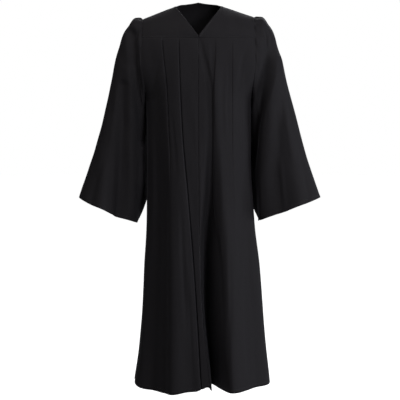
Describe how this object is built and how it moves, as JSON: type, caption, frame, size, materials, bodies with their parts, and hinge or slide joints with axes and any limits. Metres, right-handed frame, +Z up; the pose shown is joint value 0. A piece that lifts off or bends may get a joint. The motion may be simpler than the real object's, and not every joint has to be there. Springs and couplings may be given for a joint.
{
  "type": "graduation gown",
  "caption": "Full-length graduation gown with a V neck, front and back yokes, pleated fronts, concealed centre zip and open bell sleeves, filled out as if worn.",
  "frame": {"origin": "base of the neck, midway between the two points where the shoulder seams meet the neckline", "axes": "+Z up, -Y the way the wearer faces, +X to the wearer's left"},
  "size_m": [0.802, 0.3709, 1.2754],
  "materials": {
    "gown_cloth": "matt black woven polyester",
    "zip_tape": "black woven tape"
  },
  "bodies": {
    "root": {"yoke_front_right": "gown_cloth", "yoke_front_left": "gown_cloth", "yoke_back": "gown_cloth", "front_right": "gown_cloth", "front_left": "gown_cloth", "back": "gown_cloth", "sleeve_right": "gown_cloth", "sleeve_left": "gown_cloth", "zip_tape": "zip_tape"}
  },
  "joints": []
}
